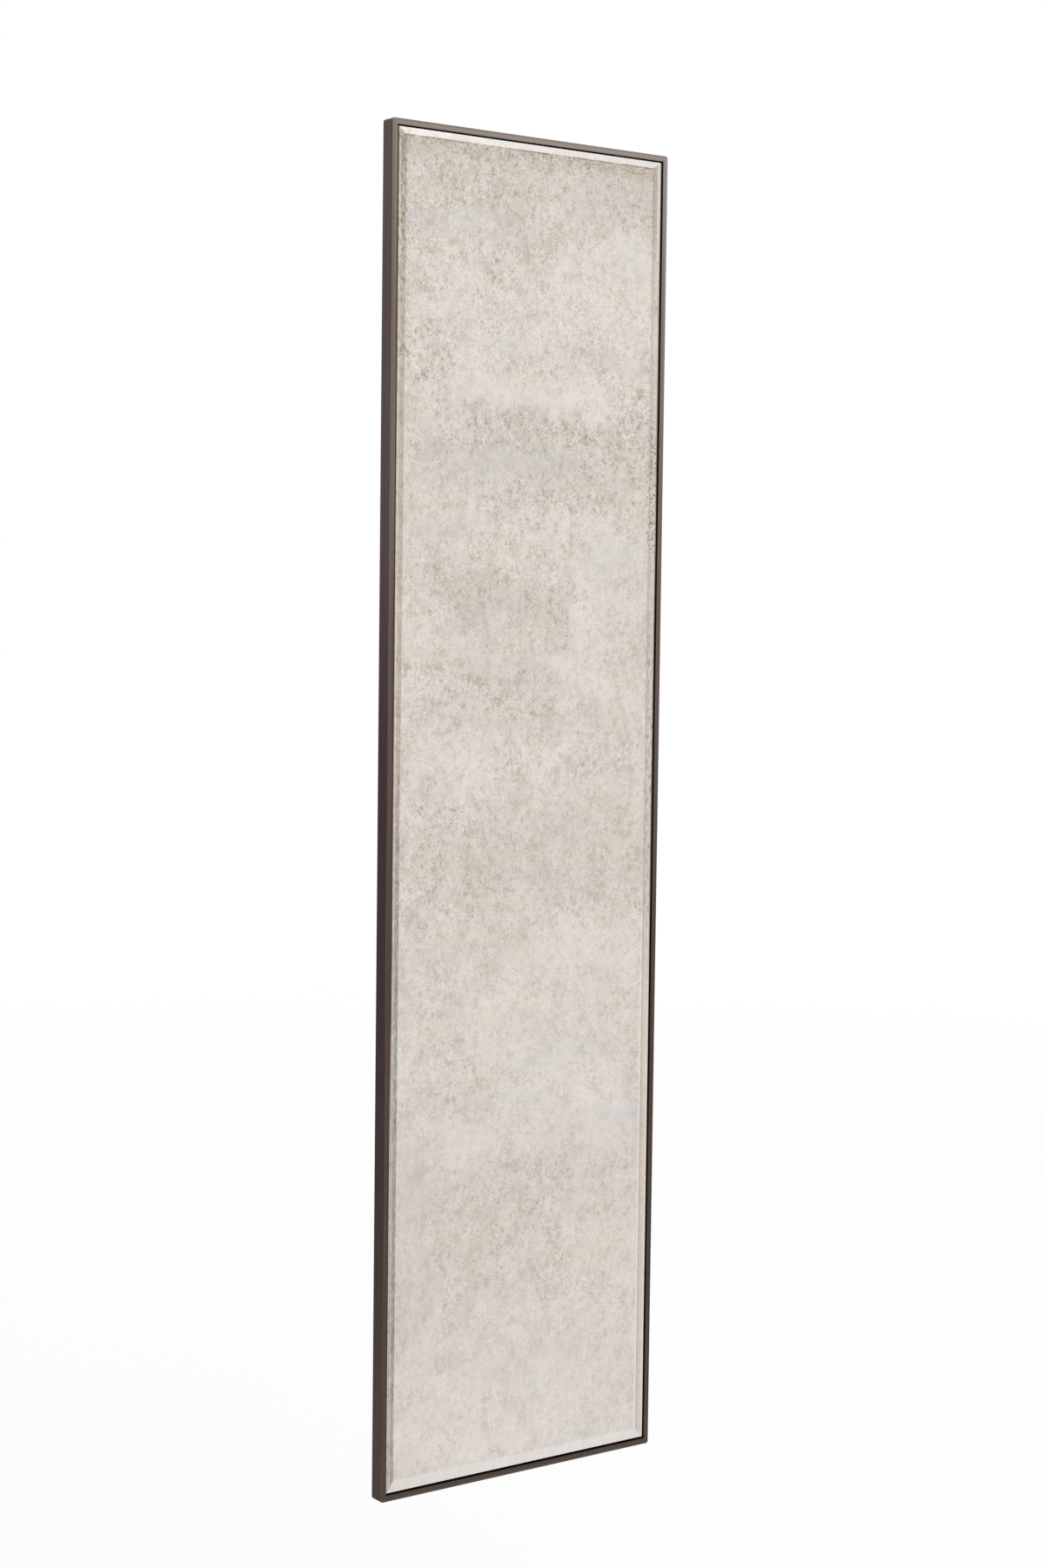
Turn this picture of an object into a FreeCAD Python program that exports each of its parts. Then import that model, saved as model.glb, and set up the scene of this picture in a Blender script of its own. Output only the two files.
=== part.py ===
import FreeCAD, Part

import math
import os

# A tall wall mirror: a slim mitred metal frame, an antiqued bevelled mirror in a shadow gap,
# and the board, tape, corner keys and hangers behind it. Lengths are in millimetres.
# X runs to the right, Y into the wall and Z up. The origin is on the wall, behind the
# mirror's centre. Depths are measured from the frame's front face towards the wall.

# Overall size
mirror_width = 450.0
mirror_height = 1800.0

# Frame profile: a hollow bar with a ledge that carries the board
face_width = 8.0
side_wall = 1.5
front_wall = 1.6
back_wall = 1.6
outer_corner_radius = 3.5
outer_edge_round = 0.8
inner_edge_round = 0.4
ledge_width = 12.0
ledge_thickness = 2.0
back_rebate = 4.6
wall_stand_off = 2.0

# Mirror glass in its shadow gap, with the reach of the bevel at each corner
side_gap = 1.6
top_gap = 1.2
bottom_gap = 2.4
glass_setback = 0.2
glass_thickness = 5.0
arris_width = 0.8
arris_drop = 0.6
bevel_drop = 1.2
bevel_left_above = 11.4
bevel_left_below = 9.2
bevel_right_above = 15.8
bevel_right_below = 14.6
bevel_top = 9.8
bevel_bottom_left = 16.3
bevel_bottom_right = 14.8

# Layers behind the glass
film_thickness = 0.2
film_inset = 2.0
tape_thickness = 1.0
tape_width = 25.0
tape_side_distance = 40.0
tape_end_distance = 30.0
dab_radius = 14.0
dab_end_distance = 140.0
dab_rows = 8
board_thickness = 9.0
board_gap = 4.0
board_edge_chamfer = 0.6

# Corner keys inside the frame and the countersunk screws that hold them
key_leg = 45.0
key_clearance = 0.1
key_end_chamfer = 1.2
key_screw_from_end = 14.0
key_screw_radius = 1.25
key_screw_length = 12.0
key_screw_head_radius = 2.35
key_screw_head_height = 1.4

# Pan-head screws through the ledge into the board
backing_screw_radius = 1.5
backing_screw_head_radius = 3.0
backing_screw_head_height = 2.2
backing_screw_end_distance = 90.0
backing_screw_count_on_stile = 6
backing_screw_count_on_rail = 2

# Folded strap hangers and their rings
strap_width = 14.0
strap_thickness = 1.2
strap_tail = 7.0
strap_hole_clearance = 0.35
hanger_screw_radius = 1.75
hanger_screw_head_radius = 3.25
hanger_screw_head_height = 2.3
hanger_screw_spacing = 16.0
ring_wire_radius = 1.5
ring_corner_radius = 3.0
ring_leg = 6.0
ring_side_clearance = 0.5
ring_pin_clearance = 0.25
ring_rest_clearance = 0.3
ring_screw_clearance = 2.0
upright_hanger_from_top = 300.0
upright_hanger_from_side = 85.0
sideways_hanger_from_side = 75.0
sideways_hanger_from_end = 450.0

# Rubber bumpers on the ledge
bumper_radius = 4.5
bumper_tip_radius = 3.9
bumper_tip_round = 0.5
bumper_from_end = 45.0

# Screw fits and driver slots
thread_clearance = 0.05
screw_hole_clearance = 0.3
screw_tip_margin = 1.5
head_round_share = 0.35
driver_slot_width_share = 0.24
driver_slot_length_share = 1.3
driver_slot_depth_share = 0.5
cut_overrun = 2.0
edge_tolerance = 0.05

# Depths of the stack, from the frame's front face
glass_arris_depth = glass_setback + bevel_drop
glass_back = glass_setback + glass_thickness
film_back = glass_back + film_thickness
tape_back = film_back + tape_thickness
board_back = tape_back + board_thickness
ledge_back = board_back + ledge_thickness
frame_back = ledge_back + back_rebate
wall_depth = frame_back + wall_stand_off

# Half sizes of the outlines
half_width = mirror_width / 2
half_height = mirror_height / 2
opening_half_width = half_width - face_width
opening_half_height = half_height - face_width
glass_half_width = opening_half_width - side_gap
glass_half_height = opening_half_height - (top_gap + bottom_gap) / 2
glass_rise = (bottom_gap - top_gap) / 2
board_half_width = opening_half_width - board_gap
board_half_height = opening_half_height - board_gap

# Screw lengths and places that follow the pieces they join
backing_screw_length = ledge_thickness + board_thickness - screw_tip_margin
backing_screw_inset = face_width + (board_gap + ledge_width) / 2
hanger_screw_length = 2 * strap_thickness + board_thickness - screw_tip_margin
bumper_inset = face_width + ledge_width / 2
key_screw_place = key_leg - key_screw_from_end

# Ring and strap sizes that follow each other
hinge_height = ring_wire_radius + ring_pin_clearance + strap_thickness
ring_bar_half = strap_width / 2 + ring_side_clearance
ring_half_width = ring_bar_half + ring_corner_radius
ring_reach = ring_leg + ring_half_width
ring_edge_reach = ring_leg + math.sqrt(ring_half_width ** 2 - (strap_width / 2) ** 2)
rest_rise = 2 * strap_thickness + ring_rest_clearance + ring_wire_radius - hinge_height
rest_tilt = math.degrees(math.asin(rest_rise / ring_edge_reach))
first_screw_place = ring_reach + ring_wire_radius + ring_screw_clearance + hanger_screw_head_radius
second_screw_place = first_screw_place + hanger_screw_spacing
strap_end = second_screw_place + strap_tail

ACROSS = FreeCAD.Vector(1, 0, 0)
INTO_WALL = FreeCAD.Vector(0, 1, 0)
TO_FRONT = FreeCAD.Vector(0, -1, 0)
QUARTER_TURN = 90.0

CORNERS = {
    "top_left": (-1, 1),
    "top_right": (1, 1),
    "bottom_left": (-1, -1),
    "bottom_right": (1, -1),
}


def at(x, depth, z):
    """A point of the mirror, with its depth measured from the frame's front face."""
    return FreeCAD.Vector(x, depth - wall_depth, z)


def prism(points, front, back):
    """A flat outline of (x, z) points, filled from one depth to another."""
    corners = [at(x, front, z) for x, z in points]
    face = Part.Face(Part.makePolygon(corners + corners[:1]))
    return face.extrude(INTO_WALL * (back - front))


def centred_box(half_x, half_z, front, back):
    return prism([(-half_x, -half_z), (half_x, -half_z), (half_x, half_z), (-half_x, half_z)], front, back)


def rounded_box(half_x, half_z, radius, front, back):
    box = centred_box(half_x, half_z, front, back)
    return box.makeFillet(radius, [e for e in box.Edges if is_along_depth(e)])


def is_along_depth(edge):
    start, end = edge.Vertexes[0].Point, edge.Vertexes[-1].Point
    return abs(start.y - end.y) > abs(start.x - end.x) + abs(start.z - end.z)


def front_edges(bar, outer):
    """The edges round the front face: its outer outline, or its inner one."""
    plane = at(0, 0, 0).y
    middle_x = half_width - face_width / 2
    middle_z = half_height - face_width / 2
    chosen = []
    for edge in bar.Edges:
        box = edge.BoundBox
        on_front = abs(box.YMin - plane) + abs(box.YMax - plane) < edge_tolerance
        is_outer = box.XMax > middle_x or box.XMin < -middle_x or box.ZMax > middle_z or box.ZMin < -middle_z
        if on_front and is_outer == outer:
            chosen.append(edge)
    return chosen


def frame_ring():
    """The whole frame as one ring: hollow bar, rounded corners and edges, and the ledge."""
    bar = rounded_box(half_width, half_height, outer_corner_radius, 0, frame_back)
    opening = centred_box(opening_half_width, opening_half_height, -cut_overrun, frame_back + cut_overrun)
    bar = bar.cut(opening)
    bar = bar.makeFillet(outer_edge_round, front_edges(bar, True))
    bar = bar.makeFillet(inner_edge_round, front_edges(bar, False))
    hollow_back = frame_back - back_wall
    hollow = centred_box(half_width - side_wall, half_height - side_wall, front_wall, hollow_back)
    core_x = opening_half_width + side_wall
    core_z = opening_half_height + side_wall
    bar = bar.cut(hollow.cut(centred_box(core_x, core_z, front_wall, hollow_back)))
    ledge = centred_box(opening_half_width, opening_half_height, board_back, ledge_back)
    inside_x = opening_half_width - ledge_width
    inside_z = opening_half_height - ledge_width
    ledge = ledge.cut(centred_box(inside_x, inside_z, board_back, ledge_back))
    return bar.fuse(ledge).removeSplitter()


def mitred_lengths():
    """The ring cut at its corners into two stiles and two rails."""
    reach = face_width + ledge_width
    inner_x = half_width - reach
    inner_z = half_height - reach
    outlines = {
        "left_stile": [
            (-half_width, -half_height), (-inner_x, -inner_z), (-inner_x, inner_z), (-half_width, half_height)
        ],
        "right_stile": [
            (half_width, -half_height), (half_width, half_height), (inner_x, inner_z), (inner_x, -inner_z)
        ],
        "top_rail": [
            (-half_width, half_height), (-inner_x, inner_z), (inner_x, inner_z), (half_width, half_height)
        ],
        "bottom_rail": [
            (-half_width, -half_height), (half_width, -half_height), (inner_x, -inner_z), (-inner_x, -inner_z)
        ],
    }
    ring = frame_ring()
    return {name: ring.common(prism(outline, 0, frame_back)) for name, outline in outlines.items()}


def corner_key(side, end):
    """An L-shaped bar that fits the hollow of two lengths at one corner."""
    near = side_wall + key_clearance
    far = face_width - side_wall - key_clearance
    lead = key_end_chamfer
    outline = [
        (near, near),
        (key_leg - lead, near), (key_leg, near + lead), (key_leg, far - lead), (key_leg - lead, far),
        (far, far),
        (far, key_leg - lead), (far - lead, key_leg), (near + lead, key_leg), (near, key_leg - lead),
    ]
    points = [(side * (half_width - x), end * (half_height - z)) for x, z in outline]
    return prism(points, front_wall + key_clearance, frame_back - back_wall - key_clearance)


def key_screw_places():
    middle = face_width / 2
    places = []
    for side, end in CORNERS.values():
        places.append((side * (half_width - middle), end * (half_height - key_screw_place)))
        places.append((side * (half_width - key_screw_place), end * (half_height - middle)))
    return places


def spread(count, end):
    """Evenly spaced places from -end to end."""
    return [2 * end * i / (count - 1) - end for i in range(count)]


def backing_screw_places():
    x = half_width - backing_screw_inset
    z = half_height - backing_screw_inset
    places = []
    for side in (-1, 1):
        for place in spread(backing_screw_count_on_stile, half_height - backing_screw_end_distance):
            places.append((side * x, place))
        for place in spread(backing_screw_count_on_rail, half_width - backing_screw_end_distance):
            places.append((place, side * z))
    return places


def driver_slots(x, z, top, head_radius, head_height):
    """A cross-shaped recess for a screwdriver, cut into a head from its top."""
    half_length = head_radius * driver_slot_length_share / 2
    half_slot = head_radius * driver_slot_width_share / 2
    floor = top - head_height * driver_slot_depth_share
    arms = []
    for half_x, half_z in ((half_length, half_slot), (half_slot, half_length)):
        arm = centred_box(half_x, half_z, floor, top + cut_overrun)
        arm.translate(FreeCAD.Vector(x, 0, z))
        arms.append(arm)
    return arms[0].fuse(arms[1])


def key_screw(x, z):
    head = Part.makeCone(
        key_screw_head_radius, key_screw_radius, key_screw_head_height, at(x, frame_back, z), TO_FRONT
    )
    shank = Part.makeCylinder(key_screw_radius, key_screw_length, at(x, frame_back, z), TO_FRONT)
    slots = driver_slots(x, z, frame_back, key_screw_head_radius, key_screw_head_height)
    return head.fuse(shank).cut(slots)


def key_screw_hole(x, z):
    """The countersink and bore that a key screw sits in, a little larger than the screw."""
    start = at(x, frame_back, z)
    cone = Part.makeCone(
        key_screw_head_radius + thread_clearance,
        key_screw_radius + thread_clearance,
        key_screw_head_height + thread_clearance,
        start,
        TO_FRONT,
    )
    return cone.fuse(shank_hole(x, z, frame_back, key_screw_radius + thread_clearance, key_screw_length))


def shank_hole(x, z, surface, radius, length):
    """A bore from a surface towards the front, open at the surface."""
    start = at(x, surface + cut_overrun, z)
    return Part.makeCylinder(radius, length + cut_overrun + thread_clearance, start, TO_FRONT)


def pan_screw(x, z, surface, radius, length, head_radius, head_height):
    """A screw whose rounded head stands on a surface, with its shank towards the front."""
    head = Part.makeCylinder(head_radius, head_height, at(x, surface, z), INTO_WALL)
    rim = [e for e in head.Edges if e.BoundBox.YMin > at(0, surface + head_height / 2, 0).y]
    head = head.makeFillet(head_height * head_round_share, rim)
    shank = Part.makeCylinder(radius, length, at(x, surface, z), TO_FRONT)
    slots = driver_slots(x, z, surface + head_height, head_radius, head_height)
    return head.fuse(shank).cut(slots)


def backing_screw(x, z):
    return pan_screw(
        x, z, ledge_back, backing_screw_radius, backing_screw_length,
        backing_screw_head_radius, backing_screw_head_height,
    )


def frame_lengths():
    """The four mitred lengths with their screw holes."""
    holes = [key_screw_hole(x, z) for x, z in key_screw_places()]
    radius = backing_screw_radius + screw_hole_clearance
    for x, z in backing_screw_places():
        holes.append(shank_hole(x, z, ledge_back, radius, backing_screw_length))
    drilled = Part.makeCompound(holes)
    return {name: length.cut(drilled) for name, length in mitred_lengths().items()}


def corner_keys():
    holes = Part.makeCompound([key_screw_hole(x, z) for x, z in key_screw_places()])
    return {"corner_key_" + name: corner_key(*signs).cut(holes) for name, signs in CORNERS.items()}


def rectangle_wire(left, right, bottom, top, depth):
    """A four-sided wire at one depth; each side is given as its two end distances."""
    corners = [
        at(left[0], depth, bottom[0]), at(right[0], depth, bottom[1]),
        at(right[1], depth, top[1]), at(left[1], depth, top[0]),
    ]
    return Part.makePolygon(corners + corners[:1])


def mirror_glass():
    """The pane: a plain back slab, a polished arris round its rim, and a hand-ground bevel."""
    x = glass_half_width
    z = glass_half_height
    rim_depth = glass_arris_depth + arris_drop
    slab = centred_box(x, z, rim_depth, glass_back)
    rim = rectangle_wire((-x, -x), (x, x), (-z, -z), (z, z), rim_depth)
    x = x - arris_width
    z = z - arris_width
    ridge = rectangle_wire((-x, -x), (x, x), (-z, -z), (z, z), glass_arris_depth)
    field = rectangle_wire(
        (-glass_half_width + bevel_left_below, -glass_half_width + bevel_left_above),
        (glass_half_width - bevel_right_below, glass_half_width - bevel_right_above),
        (-glass_half_height + bevel_bottom_left, -glass_half_height + bevel_bottom_right),
        (glass_half_height - bevel_top, glass_half_height - bevel_top),
        glass_setback,
    )
    arris = Part.makeLoft([rim, ridge], True, True)
    bevel = Part.makeLoft([ridge, field], True, True)
    pane = slab.fuse([arris, bevel]).removeSplitter()
    pane.translate(FreeCAD.Vector(0, 0, glass_rise))
    return pane


def safety_film():
    return centred_box(glass_half_width - film_inset, glass_half_height - film_inset, glass_back, film_back)


def mounting_tapes():
    """Three long strips of foam tape between the film and the board."""
    outer_place = glass_half_width - tape_side_distance
    half_length = glass_half_height - tape_end_distance
    tapes = {}
    for name, place in (("left", -outer_place), ("centre", 0), ("right", outer_place)):
        tape = centred_box(tape_width / 2, half_length, film_back, tape_back)
        tape.translate(ACROSS * place)
        tapes["mounting_tape_" + name] = tape
    return tapes


def adhesive_dabs():
    """Round pads of adhesive in two columns between the tapes."""
    column = (glass_half_width - tape_side_distance) / 2
    dabs = []
    for x in (-column, column):
        for z in spread(dab_rows, glass_half_height - dab_end_distance):
            dabs.append(Part.makeCylinder(dab_radius, tape_thickness, at(x, film_back, z), INTO_WALL))
    return Part.makeCompound(dabs)


def hanger_places():
    """Where each hanger's eye lies, and how far its strap is turned from pointing down."""
    upright_x = half_width - upright_hanger_from_side
    upright_z = half_height - upright_hanger_from_top
    sideways_x = -half_width + sideways_hanger_from_side
    sideways_z = half_height - sideways_hanger_from_end
    return {
        "left": (-upright_x, upright_z, 0),
        "right": (upright_x, upright_z, 0),
        "upper": (sideways_x, sideways_z, -QUARTER_TURN),
        "lower": (sideways_x, -sideways_z, -QUARTER_TURN),
    }


def placed(shape, place):
    """A hanger piece, drawn with its strap down from a board at Y 0, moved to its place."""
    x, z, turn = place
    moved = shape.copy()
    moved.rotate(FreeCAD.Vector(), INTO_WALL, turn)
    moved.translate(at(x, board_back, z))
    return moved


def hanger_screw_places():
    places = []
    for x, z, turn in hanger_places().values():
        angle = math.radians(turn)
        for distance in (first_screw_place, second_screw_place):
            places.append((x - distance * math.sin(angle), z - distance * math.cos(angle)))
    return places


def hanger_strap():
    """A steel strip folded round the ring's bar, with both layers flat on the board."""
    half = strap_width / 2
    straight = strap_end - half
    corners = [
        FreeCAD.Vector(-half, 0, 0), FreeCAD.Vector(-half, 0, -straight),
        FreeCAD.Vector(half, 0, -straight), FreeCAD.Vector(half, 0, 0),
    ]
    outline = [
        Part.makeLine(corners[0], corners[1]),
        Part.Arc(corners[1], FreeCAD.Vector(0, 0, -strap_end), corners[2]).toShape(),
        Part.makeLine(corners[2], corners[3]),
        Part.makeLine(corners[3], corners[0]),
    ]
    plies = Part.Face(Part.Wire(outline)).extrude(INTO_WALL * (2 * strap_thickness))
    bore_radius = ring_wire_radius + ring_pin_clearance
    eye_start = FreeCAD.Vector(-half, hinge_height, 0)
    eye = Part.makeCylinder(bore_radius + strap_thickness, strap_width, eye_start, ACROSS)
    bore_start = eye_start - ACROSS * cut_overrun
    bore = Part.makeCylinder(bore_radius, strap_width + 2 * cut_overrun, bore_start, ACROSS)
    strap = plies.fuse(eye).cut(bore)
    hole_radius = hanger_screw_radius + strap_hole_clearance
    hole_length = 2 * (strap_thickness + cut_overrun)
    for distance in (first_screw_place, second_screw_place):
        start = FreeCAD.Vector(0, -cut_overrun, -distance)
        strap = strap.cut(Part.makeCylinder(hole_radius, hole_length, start, INTO_WALL))
    return strap


def ring_path():
    """The centre line of a D-ring that hangs from its bar along X."""
    bar, corner, half, leg = ring_bar_half, ring_corner_radius, ring_half_width, ring_leg
    bend = corner * math.sqrt(2) / 2

    def point(x, z):
        return FreeCAD.Vector(x, 0, z)

    return Part.Wire([
        Part.makeLine(point(-bar, 0), point(bar, 0)),
        Part.Arc(point(bar, 0), point(bar + bend, bend - corner), point(half, -corner)).toShape(),
        Part.makeLine(point(half, -corner), point(half, -leg)),
        Part.Arc(point(half, -leg), point(0, -leg - half), point(-half, -leg)).toShape(),
        Part.makeLine(point(-half, -leg), point(-half, -corner)),
        Part.Arc(point(-half, -corner), point(-bar - bend, bend - corner), point(-bar, 0)).toShape(),
    ])


def d_ring():
    """A wire ring that lies over its strap, tipped out just enough to clear it."""
    start = Part.Circle(FreeCAD.Vector(-ring_bar_half, 0, 0), ACROSS, ring_wire_radius)
    ring = ring_path().makePipeShell([Part.Wire([start.toShape()])], True, False)
    ring.rotate(FreeCAD.Vector(), ACROSS, rest_tilt)
    ring.translate(INTO_WALL * hinge_height)
    return ring


def hanger_screw(x, z):
    return pan_screw(
        x, z, board_back + 2 * strap_thickness, hanger_screw_radius, hanger_screw_length,
        hanger_screw_head_radius, hanger_screw_head_height,
    )


def backing_board():
    """The board, with its back edges eased and pilot holes for both kinds of screw."""
    board = centred_box(board_half_width, board_half_height, tape_back, board_back)
    plane = at(0, board_back, 0).y
    back_edges = [e for e in board.Edges if e.BoundBox.YMin > plane - board_thickness / 2]
    board = board.makeChamfer(board_edge_chamfer, back_edges)
    holes = []
    for x, z in backing_screw_places():
        radius = backing_screw_radius + thread_clearance
        holes.append(shank_hole(x, z, ledge_back, radius, backing_screw_length))
    for x, z in hanger_screw_places():
        radius = hanger_screw_radius + thread_clearance
        holes.append(shank_hole(x, z, board_back + 2 * strap_thickness, radius, hanger_screw_length))
    return board.cut(Part.makeCompound(holes))


def wall_bumper(side, end):
    """A tapered rubber bumper that stands on the ledge and touches the wall."""
    height = wall_depth - ledge_back
    x = side * (half_width - bumper_inset)
    z = end * (half_height - bumper_from_end)
    bumper = Part.makeCone(bumper_radius, bumper_tip_radius, height, at(x, ledge_back, z), INTO_WALL)
    rim = [e for e in bumper.Edges if e.BoundBox.YMin > at(0, ledge_back + height / 2, 0).y]
    return bumper.makeFillet(bumper_tip_round, rim)


def all_nodes():
    nodes = frame_lengths()
    nodes.update(corner_keys())
    nodes["corner_key_screws"] = Part.makeCompound([key_screw(x, z) for x, z in key_screw_places()])
    nodes["mirror_glass"] = mirror_glass()
    nodes["safety_film"] = safety_film()
    nodes.update(mounting_tapes())
    nodes["adhesive_dabs"] = adhesive_dabs()
    nodes["backing_board"] = backing_board()
    nodes["backing_screws"] = Part.makeCompound([backing_screw(x, z) for x, z in backing_screw_places()])
    for name, place in hanger_places().items():
        nodes["hanger_strap_" + name] = placed(hanger_strap(), place)
        nodes["d_ring_" + name] = placed(d_ring(), place)
    nodes["hanger_screws"] = Part.makeCompound([hanger_screw(x, z) for x, z in hanger_screw_places()])
    for name, signs in CORNERS.items():
        nodes["wall_bumper_" + name] = wall_bumper(*signs)
    return nodes


os.makedirs("parts", exist_ok=True)
for node, shape in all_nodes().items():
    shape.exportStep("parts/" + node + ".step")
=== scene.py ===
import math

import bpy
from mathutils import Matrix, Vector


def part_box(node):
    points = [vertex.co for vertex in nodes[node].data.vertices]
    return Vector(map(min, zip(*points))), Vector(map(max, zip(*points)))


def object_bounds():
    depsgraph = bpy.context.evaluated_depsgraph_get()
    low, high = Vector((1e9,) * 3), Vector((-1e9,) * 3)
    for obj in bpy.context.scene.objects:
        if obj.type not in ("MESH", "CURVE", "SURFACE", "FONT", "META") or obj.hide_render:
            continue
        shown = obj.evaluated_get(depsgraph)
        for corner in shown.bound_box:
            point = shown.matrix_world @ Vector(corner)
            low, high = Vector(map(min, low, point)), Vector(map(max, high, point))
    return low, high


# The looks of a tall wall mirror: an antiqued, bevelled mirror in a slim bronze frame, and the
# board, hangers and screws behind it. Lengths are in metres, with X to the right, Y into the
# wall and Z up. Colours are written as they show on a screen, from 0 to 255.

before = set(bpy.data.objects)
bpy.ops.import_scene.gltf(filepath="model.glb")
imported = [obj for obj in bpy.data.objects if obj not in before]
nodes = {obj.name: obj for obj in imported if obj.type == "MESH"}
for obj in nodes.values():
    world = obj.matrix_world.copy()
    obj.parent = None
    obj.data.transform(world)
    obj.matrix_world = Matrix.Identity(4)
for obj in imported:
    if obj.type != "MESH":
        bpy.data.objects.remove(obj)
cad_low, cad_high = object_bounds()
glass_low, glass_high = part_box("mirror_glass")

X_AXIS = 0
Z_AXIS = 2
PURE_WHITE = (1.0, 1.0, 1.0, 1.0)

# Camera, as solved from the frame's straight edges
PHOTO_HEIGHT_PIXELS = 1802
FOCAL_PIXELS = 2982
SENSOR_SIDE_MM = 36.0
CAMERA_PLACE = Vector((-2.0464, -2.8378, 0.2736))
CAMERA_TURN = math.radians(35.90)
CAMERA_PITCH = math.radians(-3.79)
CAMERA_ROLL = math.radians(0.698)
CAMERA_NEAR = 0.05
CAMERA_FAR = 200.0

# Room
FLOOR_DROP = 0.30
FLOOR_RADIUS = 60.0
FLOOR_SIDES = 64
FLOOR_NEAR = 1.5
FLOOR_FAR = 7.0
FLOOR_COLOUR = (248, 247, 245)
FLOOR_OWN_SHARE = 0.06
WORLD_COLOUR = (247, 246, 244)
WORLD_STRENGTH = 0.20

# Soft boxes: one close above the mirror's right, and a weak one behind its right
KEY_PLACE = Vector((0.05, -1.5, 2.4))
KEY_AIM = Vector((0.0, 0.0, 0.4))
KEY_SIZE = (1.7, 0.8)
KEY_WATTS = 80.0
BACK_PLACE = Vector((2.4, 2.6, 1.8))
BACK_AIM = Vector((0.0, 0.0, 0.0))
BACK_SIZE = (2.0, 2.0)
BACK_WATTS = 75.0
LAMP_COLOUR = (255, 250, 242)

# Each mark below is a colour and its strength, as a share of full cover. Each range is where
# something starts and where it is full, then the shares at both where those aren't 0 and 1.

# Bronze, and the scales of its streaks, bands and mottling across and along each length
BRONZE_DARK = (84, 68, 60)
BRONZE_LIGHT = (106, 88, 78)
BRONZE_MOTTLE = ((98, 84, 82), 0.4)
# The pale colour of a painted highlight on the bronze
BRONZE_PAINTED_HIGHLIGHT = (154, 151, 151)
BRONZE_METALLIC = 0.08
BRONZE_BAND_CAST = (222, 214, 210)
# Painted shade on the frame's inner walls beside the glass
BRONZE_INNER_SHADE = (46, 35, 31)
# Casts of painted shade on the frame's outer sides, the second one darker below
BRONZE_SIDE_SHADE_CAST = (253, 238, 246)
BRONZE_SIDE_SHADE_BELOW_CAST = (158, 141, 134)
BRONZE_LOWEST_CAST = (247, 255, 255)
BRONZE_RIGHT_BELOW_CAST = (228, 228, 228)
BRONZE_STREAK_SCALES = (900.0, 7.0)
BRONZE_BAND_SCALES = (330.0, 1.5)
BRONZE_MOTTLE_SCALES = (60.0, 5.0)

# Ranges of the bronze, by height (Z), by X where the name says so, and by the lean of the normal
# Ranges of the bronze's painted highlight
HIGHLIGHT_UPWARD = (-0.4, 0.9, 0.0, 0.41)
HIGHLIGHT_BY_X = (-0.25, 0.25, 0.72, 1.25)
HIGHLIGHT_MIDDLE_FROM = (0.26, 0.40, 0.0, 0.08)
HIGHLIGHT_MIDDLE_TO = (0.66, 0.52)
HIGHLIGHT_TOP = (0.65, 0.90, 0.0, 0.12)
HIGHLIGHT_BOTTOM = (-0.60, -0.90, 0.0, 0.06)
RIGHT_BELOW_BY_X = (0.10, 0.20)
RIGHT_BELOW_TO = (-0.20, -0.45)
RIGHT_BELOW_FROM = (-0.95, -0.50)
SIDE_BELOW_TO = (0.40, 0.0)
SIDE_BELOW_FROM = (-0.85, -0.35, 0.35, 1.0)
LOWEST_ABOVE_GLASS_END = 0.010
LOWEST_BELOW_GLASS_END = 0.002
LEAN_INWARD = (-0.02, -0.06)
LEAN_OFF_FRONT = (-0.99, -0.92)
LEAN_OUTWARD = (0.10, 0.18)
LEAN_TO_SIDE = (-0.5, -0.3)

# How much broader a soft finish's clouds are than its grain
CLOUD_TO_GRAIN = 9.0

# The range that most noise keeps to
NOISE_RANGE = (0.2, 0.8)

# The silver's own tones
SILVER_DARKER = (217, 210, 200)
SILVER_LIGHTER = (225, 218, 209)
SILVER_COOL = ((212, 209, 209), 0.30)
SILVER_SANDY = ((215, 203, 190), 0.30)
SILVER_CALM = ((209, 207, 207), 0.48)
SILVER_LEVEL_GREY = (211, 209, 207)
SILVER_LEVEL_SAND = (222, 209, 194)
LEVEL_SHARE = 0.35

# Fine marks of the silver and the scales of their noise, and the tones of its broad clouds
SPONGE_SCALE = 150.0
SPONGE_BROWN = ((171, 157, 144), 0.95)
SPONGE_LIGHT = ((240, 234, 224), 0.75)
GRAIN_SCALE = 330.0
GRAIN_BROWN = ((159, 146, 134), 0.7)
DRIFT_SCALE = 60.0
DRIFT_BROWN = ((187, 176, 162), 0.36)
DRIFT_LIGHT = ((233, 227, 218), 0.36)
CLUMP_SCALE = 40.0
RUST_ZONE_SCALE = 9.0
RUST_SCALE = 260.0
RUST = ((152, 122, 104), 0.35)
CLOUD_LIGHT = (238, 232, 225)
CLOUD_LIGHT_SHARE = 0.40
CLOUD_DARK = (164, 153, 142)
CLOUD_DARK_SHARE = 0.17

# Faint casts over the whole pane, and their ranges
CAST_ABOVE = (255, 254, 254)
CAST_BELOW = (253, 252.6, 253.2)
CAST_BELOW_BY_Z = (0.1, -0.5)
CAST_LOWEST = (252, 252.3, 254)
CAST_LOWEST_BY_Z = (-0.65, -0.80)
# Painted shade over the lower left of the pane
SHADE_LOWER_LEFT = (249, 248, 249)
SHADE_LOWER_LEFT_BY_Z = (-0.35, -0.65)
SHADE_LOWER_LEFT_BY_X = (-0.05, -0.20)

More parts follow.
